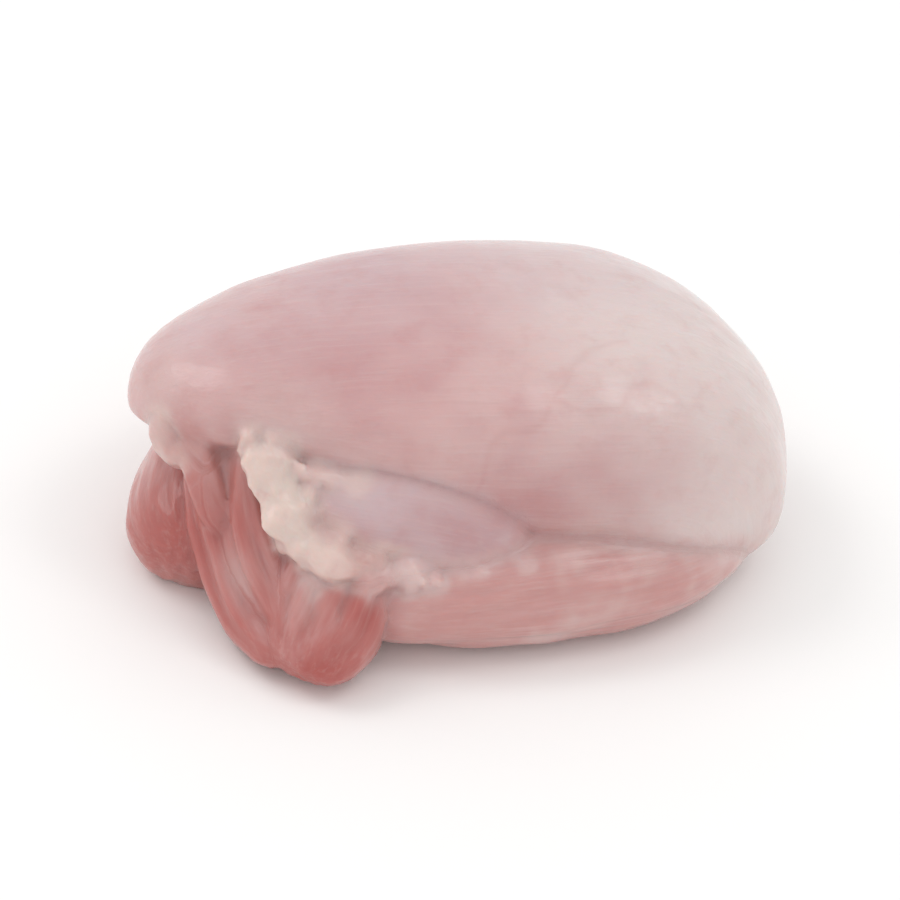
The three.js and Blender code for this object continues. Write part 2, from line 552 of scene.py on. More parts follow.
@dataclass(frozen=True)
class ThighShape:
    """Where the thigh's muscles, straps and fat lie.

    Attributes:
        hem: The blanket's widest line.
    """

    hem: Spine = HEM

    # How many stretches a run along the lip has, and where the strings of lobules in the fat
    # seam lie, along the thigh from the seam's middle line
    LIP_STEPS = 10
    SEAM_STRINGS = (-2.6 * MM, -0.8 * MM, 1 * MM, 2.6 * MM)

    def lobe(self, width: float, height: float, *places: Vector, **how: int) -> Lobe:
        """Makes a lobe whose half width and half height are shares of the thigh's height."""
        return Lobe(Spine(places), width * SIZE.z, height * SIZE.z, **how)

    def blanket(self) -> Blanket:
        """Makes the outer muscle."""
        return Blanket(at(-2, 8, 0), self.hem, open_lip=0.15 * SIZE.z, closed_lip=0.38 * SIZE.z)

    def main_lobes(self) -> Pieces:
        """Makes what gives the thigh its outline.

        Returns:
            The pieces of each tissue.
        """
        blanket = self.blanket()
        lobe = self.lobe
        return {
            Tissue.OUTER: [blanket],
            Tissue.INNER: [
                lobe(
                    0.25, 0.25,
                    at(-31, -5, 49), at(-20, -13, 46), at(-9, -19, 41), at(4, -26, 32),
                ),
            ],
            Tissue.STRAP: [
                Core(blanket, reach=0.84, middle=0.4 * SIZE.z, rise=0.26 * SIZE.z),
                lobe(
                    0.11, 0.11,
                    at(-36, 9, 80), at(-38, 4, 48), at(-38, -5, 27),
                    at(-38, -18, 15), at(-37, -33, 8),
                ),
                lobe(
                    0.13, 0.12,
                    at(-33, 1, 82), at(-34, -6, 50), at(-34, -15, 30),
                    at(-33, -26, 17), at(-33, -38, 9),
                ),
            ],
            Tissue.RED: [
                lobe(
                    0.21, 0.14,
                    at(-26, -15, 43), at(-27, -24, 29), at(-30, -31, 17), at(-35, -38, 9),
                ),
            ],
            Tissue.FLAP: [
                lobe(
                    0.39, 0.23,
                    at(-29, -15, 19), at(-4, -21, 22), at(20, -23, 22), at(41, -13, 19),
                ),
                lobe(
                    0.36, 0.27,
                    at(-40, -4, 12), at(-37, 7, 17), at(-28, 18, 23),
                    at(-8, 26, 24), at(16, 24, 22), at(40, 16, 22),
                ),
                lobe(0.24, 0.16, at(-33, 2, 24), at(0, 2, 26), at(36, 0, 24)),
            ],
            Tissue.FAT: [
                lobe(0.08, 0.08, at(-44, 11, 73), at(-44, 8, 63), at(-42, 4, 53)),
                lobe(
                    0.12, 0.06,
                    at(-34, -7, 75), at(-33, -13, 66), at(-32, -17, 56),
                    at(-30, -22, 48), at(-26, -26, 43), at(-20, -28, 42),
                    lumps=3,
                ),
            ],
        }

    def lip_run(self, start: float, end: float, down: float) -> Spine:
        """Follows the blanket's lip.

        Args:
            start: Where it starts, as a share of the way round the hem.
            end: Where it ends.
            down: How far under the lip it runs, as the blanket counts it.

        Returns:
            The curve.
        """
        blanket, steps = self.blanket(), self.LIP_STEPS
        shares = [start + (end - start) * step / steps for step in range(steps + 1)]
        return Spine(tuple(blanket.spot(share % 1.0, down) for share in shares))

    def strands(self, main: Pieces) -> Pieces:
        """Makes the strands that lie on the straps, the tongue and the flaps.

        Args:
            main: The main lobes.

        Returns:
            The pieces of each tissue.
        """
        fold = Lobe(
            Spine((at(-41, 8, 76), at(-41, 2, 62), at(-40, -4, 48), at(-39, -8, 36))),
            width=2.7 * MM, height=2.3 * MM, sides=24, rows=32,
        )
        _, *straps = main[Tissue.STRAP]
        tongue = main[Tissue.RED][0]
        front_flap, back_flap, _ = main[Tissue.FLAP]
        return {
            Tissue.STRAP: [fold] + [
                Bundle(strap, strands=9, thickness=1.4 * MM, seed=11 + index)
                for index, strap in enumerate((*straps, fold))
            ],
            Tissue.RED: [Bundle(tongue, strands=11, thickness=1.5 * MM, seed=15)],
            Tissue.FLAP: [
                Bundle(flap, strands=11, thickness=3.6 * MM, seed=31 + index, sunk=0.82)
                for index, flap in enumerate((front_flap, back_flap))
            ],
        }

    def fat(self, main: Pieces) -> Pieces:
        """Makes the lobules of the fat and the thin webs under the inner muscle.

        Args:
            main: The main lobes.

        Returns:
            The pieces of each tissue.
        """
        knob, seam = main[Tissue.FAT]
        front_web = Spine((at(-25, -31, 33), at(-17, -33, 35), at(-8, -34, 36), at(1, -35, 36)))
        bed = Spine((at(-32, -26, 35), at(-23, -30, 36), at(-14, -30, 38), at(4, -31, 39)))
        corner = Spine((at(-30, -14, 68), at(-26, -16, 65), at(-22, -18, 63)))
        under_inner = Spine((at(-24, -28, 42), at(-15, -30, 42), at(-6, -32, 40), at(2, -34, 40)))
        back_lip = self.lip_run(0.71, 0.89, down=0.65)
        deep_lip = self.lip_run(0.73, 0.87, down=0.67)
        side_lip = self.lip_run(0.33, 0.43, down=0.62)
        seam_lobules = [
            Lobules(seam.spine.moved(x), 26, 0.9 * MM, 1.6 * MM, scatter=0.9 * MM, seed=20 + index)
            for index, x in enumerate(self.SEAM_STRINGS)
        ]
        return {
            Tissue.FAT: seam_lobules + [
                Lobules(corner, 9, 0.9 * MM, 1.5 * MM, scatter=0.6 * MM, seed=9),
                Lobules(knob.spine, 12, 1.1 * MM, 1.9 * MM, scatter=1.7 * MM, seed=4),
                Lobe(back_lip, width=2.0 * MM, height=1.3 * MM, lumps=5, sides=16, rows=90),
                Lobules(deep_lip, 34, 0.7 * MM, 1.4 * MM, scatter=0.9 * MM, seed=5),
                Lobules(side_lip, 12, 0.5 * MM, 1.1 * MM, scatter=0.8 * MM, seed=8),
            ],
            Tissue.WEB: [
                Lobe(bed, width=2.6 * MM, height=2.0 * MM, lumps=4, sides=16, rows=60),
                Lobe(corner, width=1.7 * MM, height=1.5 * MM, sides=12, rows=20),
                Lobules(front_web, 34, 0.5 * MM, 1.2 * MM, scatter=1.3 * MM, seed=6),
                Threads(under_inner, front_web, 16, thickness=0.5 * MM, seed=7),
            ],
        }


@dataclass(frozen=True)
class Tint:
    """A round soft-edged patch of colour.

    Attributes:
        place: Its middle.
        reach: Its radius.
        strength: How much colour it has in the middle, from 0 to 1.
    """

    place: Vector
    reach: float
    strength: float


TINTS = {
    "blush": (
        Tint(at(-23, -2, 98), 11.5 * MM, 0.95),
        Tint(at(-12, 22, 97), 12 * MM, 0.75),
        Tint(at(-3, -6, 99), 9 * MM, 0.3),
        Tint(at(-6, 9, 99), 8 * MM, 0.35),
        Tint(at(-31, 7, 96), 7 * MM, 0.45),
        Tint(at(-47, 7, 62), 5 * MM, 0.9),
        # These two along the front of the hem are partly rosier meat and partly painted shade
        # where the hem turns under.
        Tint(at(2, -35, 58), 9 * MM, 0.7),
        Tint(at(18, -38, 66), 9 * MM, 0.35),
        Tint(at(-35, 30, 74), 10 * MM, 0.6),
        Tint(at(30, 30, 60), 10 * MM, 0.4),
        Tint(at(47, -13, 30), 7 * MM, 0.5),
        Tint(at(46, 22, 40), 7 * MM, 0.45),
    ),
    "blood": (
        Tint(at(-34, -44, 11), 7 * MM, 1.0),
        Tint(at(-47, -2, 28), 15 * MM, 1.0),
        Tint(at(-26, -39, 29), 3.2 * MM, 1.0),
        Tint(at(-25, -33, 38), 3 * MM, 0.6),
        # These six along the front, under the hem, are partly reddened meat and partly painted
        # shade where the hem turns under.
        Tint(at(-19, -32, 46), 4 * MM, 0.2),
        Tint(at(-14, -32, 54), 3.5 * MM, 0.14),
        Tint(at(-9, -34, 50), 4.2 * MM, 0.32),
        Tint(at(-3, -33, 55), 3.5 * MM, 0.14),
        Tint(at(4, -35, 54), 5 * MM, 0.2),
        Tint(at(11, -38, 47), 4.5 * MM, 0.18),
        Tint(at(24, 49, 16), 5 * MM, 0.5),
        Tint(at(47, 9, 18), 2.2 * MM, 0.3),
    ),
    "film": (
        Tint(at(-32, -10, 84), 7 * MM, 0.5),
        Tint(at(-24, -22, 68), 3.5 * MM, 0.45),
        Tint(at(-47, 12, 82), 6 * MM, 0.45),
        Tint(at(-41, 0, 58), 5 * MM, 0.3),
        Tint(at(-33, -33, 32), 3.5 * MM, 0.3),
        Tint(at(-39, -18, 29), 3.5 * MM, 0.45),
        Tint(at(40, -22, 48), 9 * MM, 0.4),
        Tint(at(49, 4, 60), 8 * MM, 0.4),
        Tint(at(-36, 34, 70), 9 * MM, 0.4),
        Tint(at(10, 46, 50), 10 * MM, 0.4),
    ),
}


VEINS = (
    Spine((at(-7, -30, 66), at(-3, -26, 79), at(6, -24, 88), at(11, -17, 95), at(20, -14, 95))),
    Spine((at(6, -24, 88), at(12, -27, 86), at(19, -25, 87), at(24, -27, 80))),
    Spine((at(28, 46, 46), at(22, 40, 70), at(14, 35, 80), at(10, 26, 92))),
    Spine((at(22, 40, 70), at(28, 34, 74), at(30, 25, 84))),
    Spine((at(-28, 42, 66), at(-22, 36, 82), at(-24, 27, 90))),
    Spine((at(44, -16, 52), at(42, -6, 62), at(37, -2, 74), at(35, 6, 78))),
)


@dataclass
class Surface:
    """The thigh's skin of points, with what is known at each.

    Attributes:
        points: The points' places.
        normals: The points' outward directions.
        edges: The pairs of points that edges join.
        grain: The points' grain.
        masks: How much of each tissue, tint and fold is at the points, by name.
    """

    points: np.ndarray
    normals: np.ndarray
    edges: np.ndarray
    grain: np.ndarray = field(init=False)
    masks: dict[str, np.ndarray] = field(default_factory=dict)

    # The noise that makes a tint's edge uneven: its cells, its seed and how much it does
    TINT_CELLS = (5 * MM, 5 * MM, 5 * MM)
    TINT_SEED = 21.3
    TINT_WANDER = 0.45

    # How a thin line wanders, how many straight steps it has and how far off the skin it shows
    LINE_CELL = 4 * MM
    LINE_WANDER = 1.6 * MM
    LINE_STEPS = 60
    LINE_DEPTH = 4 * MM

    @classmethod
    def of(cls, skin: BMesh) -> "Surface":
        """Reads the points and edges of a mesh.

        Args:
            skin: The mesh.

        Returns:
            Its surface, without grain or masks.
        """
        skin.normal_update()
        skin.verts.index_update()
        return cls(
            np.array([vert.co for vert in skin.verts]),
            np.array([vert.normal for vert in skin.verts]),
            np.array([[vert.index for vert in edge.verts] for edge in skin.edges]),
        )

    def relaxed(self, values: np.ndarray, rounds: int) -> np.ndarray:
        """Averages values with those of the points' neighbours.

        Args:
            values: Rows of numbers, one row for each point.
            rounds: How many times they are averaged.

        Returns:
            The smoother rows.
        """
        ends = np.concatenate([self.edges, self.edges[:, ::-1]])
        size = len(values)
        count = np.bincount(ends[:, 0], minlength=size)
        for _ in range(rounds):
            near = [
                np.bincount(ends[:, 0], weights=column[ends[:, 1]], minlength=size) / count
                for column in values.T
            ]
            values = (values + np.array(near).T) / 2
        return values

    def folds(self, rounds: int, depth: float) -> np.ndarray:
        """Finds how far the points lie inside folds.

        Args:
            rounds: How wide the folds are that count.
            depth: The depth that gives 1.

        Returns:
            A number from -1 to 1 for each point.
        """
        moved = self.relaxed(self.points, rounds) - self.points
        return np.clip(np.einsum("ij,ij->i", moved, self.normals) / depth, -1.0, 1.0)

    def noise(self, source: np.ndarray, cells: Triple, seed: float) -> np.ndarray:
        """Draws smooth noise at the points.

        Args:
            source: What it is drawn on: places or grain.
            cells: The size of its lumps along the source's three directions.
            seed: Moves it to another stretch of noise.

        Returns:
            A number from -1 to 1 for each point.
        """
        scaled = source / np.array(cells) + seed
        return np.fromiter((noise.noise(Vector(row)) for row in scaled), float, len(scaled))

    def tint(self, tints: Iterable[Tint]) -> np.ndarray:
        """Lays soft patches on the points.

        Args:
            tints: The patches.

        Returns:
            A number from 0 to 1 for each point.
        """
        wander = self.noise(self.points, self.TINT_CELLS, self.TINT_SEED)
        bare = np.ones(len(self.points))
        for tint in tints:
            away = np.linalg.norm(self.points - np.array(tint.place), axis=1)
            away *= 1 + self.TINT_WANDER * wander
            bare *= 1 - tint.strength * np.exp(-((away / tint.reach) ** 2))
        return 1 - bare

    def lines(self, spines: Iterable[Spine], width: float) -> np.ndarray:
        """Draws thin lines on the points.

        Args:
            spines: Curves that run near the surface.
            width: The lines' half width.

        Returns:
            A number from 0 to 1 for each point.
        """
        wander = [noise.noise_vector(Vector(co) / self.LINE_CELL) for co in self.points]
        places = self.points + np.array(wander) * self.LINE_WANDER
        drawn = np.zeros(len(places))
        for spine in spines:
            beads = [spine.point(step / self.LINE_STEPS) for step in range(self.LINE_STEPS + 1)]
            for first, last in zip(beads, beads[1:]):
                run = np.array(last - first)
                share = np.clip((places - np.array(first)) @ run / (run @ run), 0.0, 1.0)
                away = places - np.array(first) - share[:, None] * run
                across = away - np.einsum("ij,ij->i", away, self.normals)[:, None] * self.normals
                near = np.linalg.norm(away, axis=1) < self.LINE_DEPTH
                mark = np.exp(-((np.linalg.norm(across, axis=1) / width) ** 2)) * near
                drawn = np.maximum(drawn, mark)
        return drawn


@dataclass(frozen=True)
class Ripple:
    """A layer of the skin's soft relief.

    Attributes:
        depth: How far it raises and lowers the skin.
        cells: The size of its lumps along the three axes, or twice across the grain and along it.
        seed: Moves it to another stretch of noise.
        smooth: Its share on the smooth muscles.
        meaty: Its share on the straps, the tongue and the flaps.
        fatty: Its share on the fat and the webs.
        folded: Its share on the smooth muscles where they bend down in the fold.
        along_grain: Whether it follows the grain.
        ridged: Whether it has sharp ridges between its hollows.
    """

    depth: float
    cells: Triple
    seed: float
    smooth: float = 0.0
    meaty: float = 0.0
    fatty: float = 0.0
    folded: float = 0.0
    along_grain: bool = False
    ridged: bool = False

    def height(self, surface: Surface, folded: np.ndarray) -> np.ndarray:
        """Works out how far the layer moves each point.

        Args:
            surface: The skin.
            folded: How much each point lies in the fold, from 0 to 1.

        Returns:
            The distances, in metres.
        """
        masks = surface.masks
        smooth = masks["outer"] + masks["inner"]
        share = (self.smooth + self.folded * folded) * smooth
        share += self.meaty * (masks["strap"] + masks["red"] + masks["flap"])
        share += self.fatty * (masks["fat"] + masks["web"])
        source = surface.grain if self.along_grain else surface.points
        wave = surface.noise(source, self.cells, self.seed)
        return self.depth * share * (1 - 2 * np.abs(wave) if self.ridged else wave)


ROLL = Ripple(0.5 * MM, (19 * MM, 15 * MM, 15 * MM), 3.1, smooth=1.0, meaty=0.6)
FINE_ROLL = Ripple(0.16 * MM, (7 * MM, 6 * MM, 6 * MM), 9.7, smooth=1.0, meaty=2.0)
BUNDLES = Ripple(0.3 * MM, (9 * MM, 9 * MM, 50 * MM), 6.6, smooth=1.0, along_grain=True)
STRANDS = Ripple(
    0.22 * MM, (1.7 * MM, 1.7 * MM, 16 * MM), 5.3, meaty=1.0, along_grain=True, ridged=True
)
FIBRES = Ripple(0.06 * MM, (1.3 * MM, 1.3 * MM, 22 * MM), 1.9, smooth=1.0, along_grain=True)
WRINKLES = Ripple(0.45 * MM, (13 * MM, 13 * MM, 3.4 * MM), 4.4, folded=1.0, along_grain=True)
LUMPS = Ripple(0.3 * MM, (1.8 * MM, 1.8 * MM, 1.8 * MM), 7.7, fatty=1.0)
SMALL_LUMPS = Ripple(0.16 * MM, (0.9 * MM, 0.9 * MM, 0.9 * MM), 2.7, fatty=1.0)
RELIEF = (ROLL, FINE_ROLL, BUNDLES, STRANDS, FIBRES, WRINKLES, LUMPS, SMALL_LUMPS)


class ThighSkin:
    """Joins the thigh's pieces into one skin and gives it its relief."""

    VOXEL = 0.46 * MM
    QUICK_VOXEL = 0.8 * MM

    # How far a tissue's colour reaches past it, how the borders wander, and how far one is sought
    BLEND = {Tissue.FAT: 0.8 * MM, Tissue.WEB: 0.8 * MM, Tissue.RED: 2.5 * MM}
    USUAL_BLEND = 1.3 * MM
    BORDER_CELL = 2.6 * MM
    BORDER_WANDER = 0.9 * MM
    SEARCH = 8 * MM

    # Seed of the noise that borders and veins wander by
    WANDER_SEED = 12

    # How often the skin, the grain and the finished relief are smoothed
    SKIN_ROUNDS = 3
    GRAIN_ROUNDS = 4
    RELIEF_ROUNDS = 1

    # Where the fold at the closed end starts, along and up, and how far it takes to be whole
    FOLD_START = 24 * MM
    FOLD_RUN = 12 * MM
    FOLD_TOP = 20 * MM
    FOLD_FALL = 14 * MM

    CREASE_SINK = 0.35 * MM
    VEIN_WIDTH = 0.5 * MM

    def __init__(self, shape: ThighShape) -> None:
        """Makes the pieces' meshes.

        Args:
            shape: Where the pieces lie.
        """
        main = shape.main_lobes()
        details = {**shape.strands(main), **shape.fat(main)}
        self.main = self._joined(piece for pieces in main.values() for piece in pieces)
        self.tissues = {
            tissue: self._joined([*main.get(tissue, []), *details.get(tissue, [])])
            for tissue in Tissue
        }
        fit = self._fit()
        for mesh in (self.main, *self.tissues.values()):
            bmesh.ops.transform(mesh, matrix=fit, verts=mesh.verts)
            bmesh.ops.recalc_face_normals(mesh, faces=mesh.faces)

    @staticmethod
    def _joined(pieces: Iterable[Piece]) -> BMesh:
        """Puts some pieces into one new mesh.

        Args:
            pieces: The pieces.

        Returns:
            The mesh.
        """
        mesh = bmesh.new()
        for piece in pieces:
            piece.add_to(mesh)
        return mesh

    def _fit(self) -> Matrix:
        """Finds what draws the main lobes out to the solid's box.

        Returns:
            The change of places that does it.
        """
        places = np.array([vert.co for vert in self.main.verts])
        low, high = places.min(axis=0), places.max(axis=0)
        low[2] = 0.0
        middle = Vector(((low[0] + high[0]) / 2, (low[1] + high[1]) / 2, 0.0))
        scale = [SIZE[axis] / (high[axis] - low[axis]) for axis in range(3)]
        return Matrix.Diagonal((*scale, 1.0)) @ Matrix.Translation(-middle)

    def _remeshed(self) -> BMesh:
        """Joins all pieces into one closed skin.

        Returns:
            The skin.
        """
        whole = bpy.data.meshes.new("pieces")
        joined = bmesh.new()
        for mesh in self.tissues.values():
            mesh.to_mesh(whole)
            joined.from_mesh(whole)
        joined.to_mesh(whole)
        joined.free()
        holder = bpy.data.objects.new("pieces", whole)
        bpy.context.scene.collection.objects.link(holder)
        remesh = holder.modifiers.new("skin", "REMESH")
        remesh.mode = "VOXEL"
        remesh.voxel_size = self.VOXEL
        evaluated = holder.evaluated_get(bpy.context.evaluated_depsgraph_get())
        skin = bmesh.new()
        skin.from_mesh(evaluated.to_mesh())
        evaluated.to_mesh_clear()
        bpy.data.objects.remove(holder)
        bpy.data.meshes.remove(whole)
        return skin

    def _grain(self, surface: Surface) -> np.ndarray:
        """Finds the points' grain from the nearest main lobe's.

        Args:
            surface: The skin.

        Returns:
            The grain, one row for each point.
        """
        tree = BVHTree.FromBMesh(self.main)
        self.main.faces.ensure_lookup_table()
        layer = self.main.verts.layers.float_vector.get(GRAIN)
        grain = np.zeros((len(surface.points), 3))
        for index, co in enumerate(surface.points):
            spot, _, face, _ = tree.find_nearest(Vector(co))
            corners = self.main.faces[face].verts
            weights = poly_3d_calc([corner.co for corner in corners], spot)
            for corner, weight in zip(corners, weights):
                grain[index] += np.array(corner[layer]) * weight
        return surface.relaxed(grain, self.GRAIN_ROUNDS)

    def _shares(self, surface: Surface) -> dict[str, np.ndarray]:
        """Finds how much of each tissue is at the points.

        Args:
            surface: The skin.

        Returns:
            The tissues' shares by their names, which add up to 1 at each point.
        """
        places = [
            Vector(co) + noise.noise_vector(Vector(co) / self.BORDER_CELL) * self.BORDER_WANDER
            for co in surface.points
        ]
        shares = {}
        for tissue, mesh in self.tissues.items():
            tree = BVHTree.FromBMesh(mesh)
            blend = self.BLEND.get(tissue, self.USUAL_BLEND)
            away = np.full(len(surface.points), self.SEARCH)
            for index, place in enumerate(places):
                found = tree.find_nearest(place, self.SEARCH)
                if found[0] is not None:
                    away[index] = found[3]
            shares[tissue.value] = np.exp(-((away / blend) ** 2))
        total = sum(shares.values()) + np.finfo(float).eps
        return {name: share / total for name, share in shares.items()}

    def _relief(self, surface: Surface) -> np.ndarray:
        """Works out how far each point moves along its normal.

        Args:
            surface: The skin, with its grain and masks.

        Returns:
            The distances, in metres.
        """
        along, _, up = surface.points.T
        folded = np.clip((along - self.FOLD_START) / self.FOLD_RUN, 0.0, 1.0)
        folded *= np.clip((self.FOLD_TOP - up) / self.FOLD_FALL, 0.0, 1.0)
        height = sum(ripple.height(surface, folded) for ripple in RELIEF)
        return height - self.CREASE_SINK * np.clip(surface.masks["crease"], 0.0, 1.0)

    def piece(self, name: str) -> bpy.types.Object:
        """Makes the finished skin.

        Args:
            name: The object's name.

        Returns:
            The object, with its masks as attributes.
        """
        noise.seed_set(self.WANDER_SEED)
        skin = self._remeshed()
        surface = Surface.of(skin)
        surface.points = surface.relaxed(surface.points, self.SKIN_ROUNDS)
        surface.grain = self._grain(surface)
        surface.masks = self._shares(surface)
        # How far each point lies in a crease: the relief sinks it and the material paints shade
        # there.
        surface.masks["crease"] = surface.folds(rounds=16, depth=0.6 * MM)
        # How far each point lies in a broad hollow; the material paints shade there.
        surface.masks["dip"] = surface.folds(rounds=110, depth=1.6 * MM)
        for tint, patches in TINTS.items():
            surface.masks[tint] = surface.tint(patches)
        surface.masks["vein"] = surface.lines(VEINS, self.VEIN_WIDTH)
        log.info("skin of %d points read", len(surface.points))
        moved = surface.points + surface.normals * self._relief(surface)[:, None]
        moved = surface.relaxed(moved, self.RELIEF_ROUNDS)
        for vert, place in zip(skin.verts, moved):
            vert.co = place
            vert.co.z = max(vert.co.z, 0.0)
        for face in skin.faces:
            face.smooth = True
        mesh = bpy.data.meshes.new(name)
        skin.to_mesh(mesh)
        skin.free()
        self._store(mesh, surface)
        piece = bpy.data.objects.new(name, mesh)
        bpy.context.scene.collection.objects.link(piece)
        return piece

    @staticmethod
    def _store(mesh: bpy.types.Mesh, surface: Surface) -> None:
        """Keeps the masks and the grain on the mesh.

        Args:
            mesh: The skin's mesh.
            surface: What is known at its points.
        """
        for mask, amount in surface.masks.items():
            layer = mesh.attributes.new(mask, "FLOAT", "POINT")
            layer.data.foreach_set("value", amount.astype(np.float32))
        layer = mesh.attributes.new(GRAIN, "FLOAT_VECTOR", "POINT")
        layer.data.foreach_set("vector", surface.grain.astype(np.float32).ravel())


def srgb(red: int, green: int, blue: int) -> Colour:
    """Turns a colour as screens show it into the renderer's own numbers.

    Args:
        red: Red, from 0 to 255.
        green: Green, from 0 to 255.
        blue: Blue, from 0 to 255.

    Returns:
        Red, green, blue and full cover, from 0 to 1.
    """

    def linear(value: float) -> float:
        """Turns one channel."""
        value /= 255
        return value / 12.92 if value <= 0.04045 else ((value + 0.055) / 1.055) ** 2.4

    return (linear(red), linear(green), linear(blue), 1.0)


class Nodes:
    """Short ways to place and join the nodes of a material or group."""

    def __init__(self, tree: bpy.types.NodeTree) -> None:
        """Starts on a node tree."""
        self.tree = tree

    def add(self, kind: str, inputs: dict | None = None, **settings: object) -> bpy.types.Node:
        """Adds a node.

        Args:
            kind: The node's type, without its ShaderNode start.
            inputs: Values or outputs for its inputs, by name or number.
            settings: Values of its own settings.

        Returns:
            The node.
        """
        node = self.tree.nodes.new("ShaderNode" + kind)
        for name, value in settings.items():
            setattr(node, name, value)
        for name, value in (inputs or {}).items():
            self.set(node.inputs[name], value)
        return node

    def set(self, socket: Socket, value: object) -> None:
        """Gives a socket a value, or joins an output to it.

        Args:
            socket: The socket.
            value: A number, a colour or an output.
        """
        if isinstance(value, Socket):
            self.tree.links.new(value, socket)
        else:
            socket.default_value = value

    def math(self, operation: str, *values: object, clamp: bool = False) -> Socket:
        """Works out a number from one, two or three others."""
        node = self.add("Math", dict(enumerate(values)), operation=operation, use_clamp=clamp)
        return node.outputs[0]

    def scaled(self, value: object, by: float, plus: object = 0.0) -> Socket:
        """Multiplies a number and adds another."""
        return self.math("MULTIPLY_ADD", value, by, plus)

    def ramp(self, value: object, low: float, high: float) -> Socket:
        """Turns what lies between two numbers smoothly into 0 to 1."""
        span = {"Value": value, "From Min": low, "From Max": high}
        return self.add("MapRange", span, interpolation_type="SMOOTHSTEP").outputs["Result"]

    def mix(self, share: object, first: object, second: object) -> Socket:
        """Mixes two colours."""
        return self.add("Mix", {0: share, 6: first, 7: second}, data_type="RGBA").outputs[2]

    def over(self, colour: object, mask: str, strength: float, top: object) -> Socket:
        """Lays a colour over another where one of the mesh's masks is."""
        return self.mix(self.scaled(self.attribute(mask), by=strength), colour, top)

    def noise(self, vector: object, scale: object, detail: float, rough: float) -> Socket:
        """Draws noise."""
        inputs = {"Vector": vector, "Scale": scale, "Detail": detail, "Roughness": rough}
        return self.add("TexNoise", inputs).outputs["Fac"]

    def attribute(self, name: str, output: str = "Fac") -> Socket:
        """Reads one of the mesh's attributes."""
        return self.add("Attribute", attribute_name=name).outputs[output]


def fibre_group() -> bpy.types.NodeTree:
    """Builds the group that draws muscle fibres along the grain.

    Returns:
        The group: its inputs are the grain, the fibres' pitch per metre and how far they run
        compared with their width; its output is a mask from 0 to 1.
    """
    tree = bpy.data.node_groups.new("muscle_fibres", "ShaderNodeTree")
    for name, way, kind in (
        ("Grain", "INPUT", "Vector"),
        ("Pitch", "INPUT", "Float"),
        ("Run", "INPUT", "Float"),
        ("Fibres", "OUTPUT", "Float"),
    ):
        tree.interface.new_socket(name, in_out=way, socket_type="NodeSocket" + kind)
    nodes = Nodes(tree)
    given = tree.nodes.new("NodeGroupInput")
    result = tree.nodes.new("NodeGroupOutput")
    split = nodes.add("SeparateXYZ", {0: given.outputs["Grain"]})
    along = nodes.math("DIVIDE", split.outputs["Z"], given.outputs["Run"])
    joined = nodes.add("CombineXYZ", {0: split.outputs["X"], 1: split.outputs["Y"], 2: along})
    drawn = nodes.noise(joined.outputs[0], given.outputs["Pitch"], detail=3.0, rough=0.6)
    nodes.set(result.inputs["Fibres"], drawn)
    return tree


class MeatNodes(Nodes):
    """The nodes of the meat's material, with the patterns that it is drawn with.

    Attributes:
        spot: The place in the thigh, as outputs X, Y and Z.
        cloud: Broad clouds.
        mottle: Fine mottling.
        coarse: Broad fibres along the grain.
        fine: Fine fibres along the grain.
    """

    # Pitch of the fibres per metre, and how far they run compared with their width
    COARSE = {"Pitch": 420.0, "Run": 14.0}
    FINE = {"Pitch": 1500.0, "Run": 20.0}

    def __init__(self, tree: bpy.types.NodeTree, fibres: bpy.types.NodeTree) -> None:
        """Places the patterns.

        Args:
            tree: The material's node tree.
            fibres: The group that draws muscle fibres.
        """
        super().__init__(tree)
        place = self.add("TexCoord").outputs["Object"]
        grain = self.attribute(GRAIN, "Vector")
        self.spot = self.add("SeparateXYZ", {0: place}).outputs
        self.cloud = self.noise(place, scale=60.0, detail=3.0, rough=0.55)
        self.mottle = self.noise(place, scale=260.0, detail=3.0, rough=0.6)
        self.coarse, self.fine = (
            self.add("Group", {"Grain": grain, **drawn}, node_tree=fibres).outputs["Fibres"]
            for drawn in (self.COARSE, self.FINE)
        )


